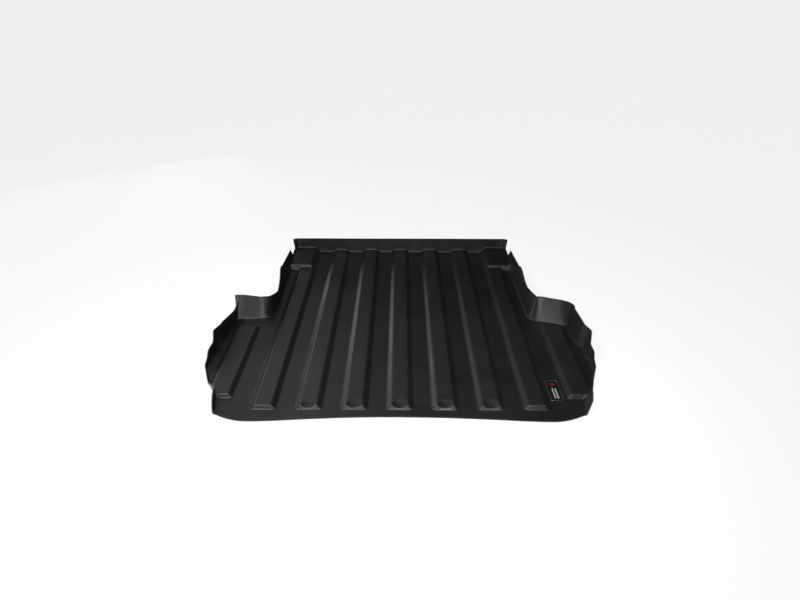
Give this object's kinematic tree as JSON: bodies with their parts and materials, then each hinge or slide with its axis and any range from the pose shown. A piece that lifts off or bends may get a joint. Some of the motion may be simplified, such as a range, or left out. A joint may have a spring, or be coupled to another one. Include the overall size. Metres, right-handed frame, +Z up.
{
  "type": "truck bed liner mat",
  "caption": "One-piece moulded bed liner mat with a ribbed floor, upturned edges round the bulkhead and wheel arches, and a small badge.",
  "frame": {"origin": "bottom centre of the bounding box: on the surface the mat rests on, on its centre plane, midway between the bulkhead end and the tailgate end", "axes": "+X to the truck's right, +Y towards the cab, +Z up"},
  "size_m": [1.55, 1.549, 0.099],
  "materials": {
    "mat": "fine-grained satin",
    "tape": "matte foam",
    "plate": "gloss",
    "rim": "satin",
    "emblem": "gloss",
    "bars": "gloss"
  },
  "bodies": {
    "root": {"liner_mat": "mat", "badge_tape": "tape", "badge_plate": "plate", "badge_rim": "rim", "badge_emblem": "emblem", "badge_bars": "bars"}
  },
  "joints": []
}
